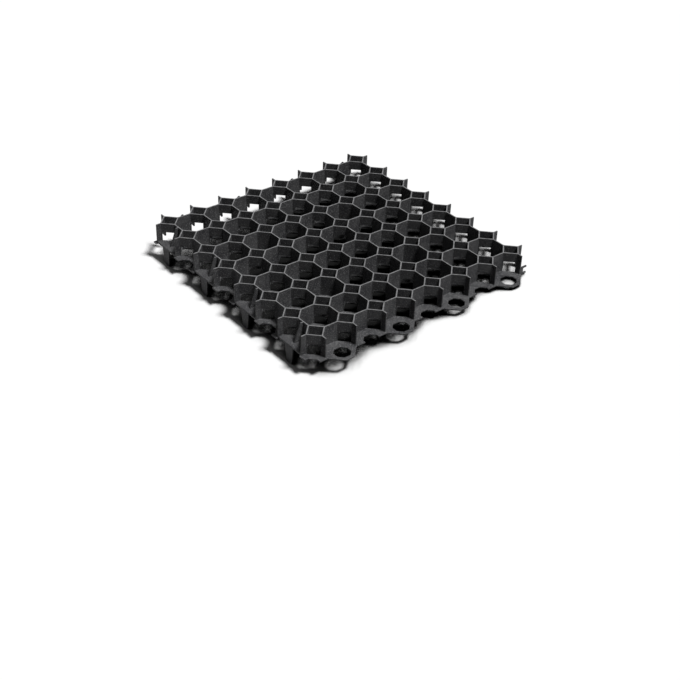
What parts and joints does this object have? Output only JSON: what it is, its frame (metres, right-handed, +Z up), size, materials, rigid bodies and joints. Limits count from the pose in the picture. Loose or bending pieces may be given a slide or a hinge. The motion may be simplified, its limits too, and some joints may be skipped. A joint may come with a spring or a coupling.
{
  "type": "grass paver grid",
  "caption": "Square plastic slab of open octagonal cells with square knots between them, floor rings, coupling loops, hooks and edge spikes, laid to carry loads over grass or gravel.",
  "frame": {"origin": "under the middle of the bounding box, level with the tips of the spikes", "axes": "+Z up from the spikes to the walking face; +X towards the side with the coupling loops; -Y towards the side with the spikes"},
  "size_m": [0.5174, 0.4966, 0.0695],
  "materials": {
    "moulding": "moulded black recycled polyethylene, satin, with scuffed edges"
  },
  "bodies": {
    "root": {"paver_grid": "moulding"}
  },
  "joints": []
}
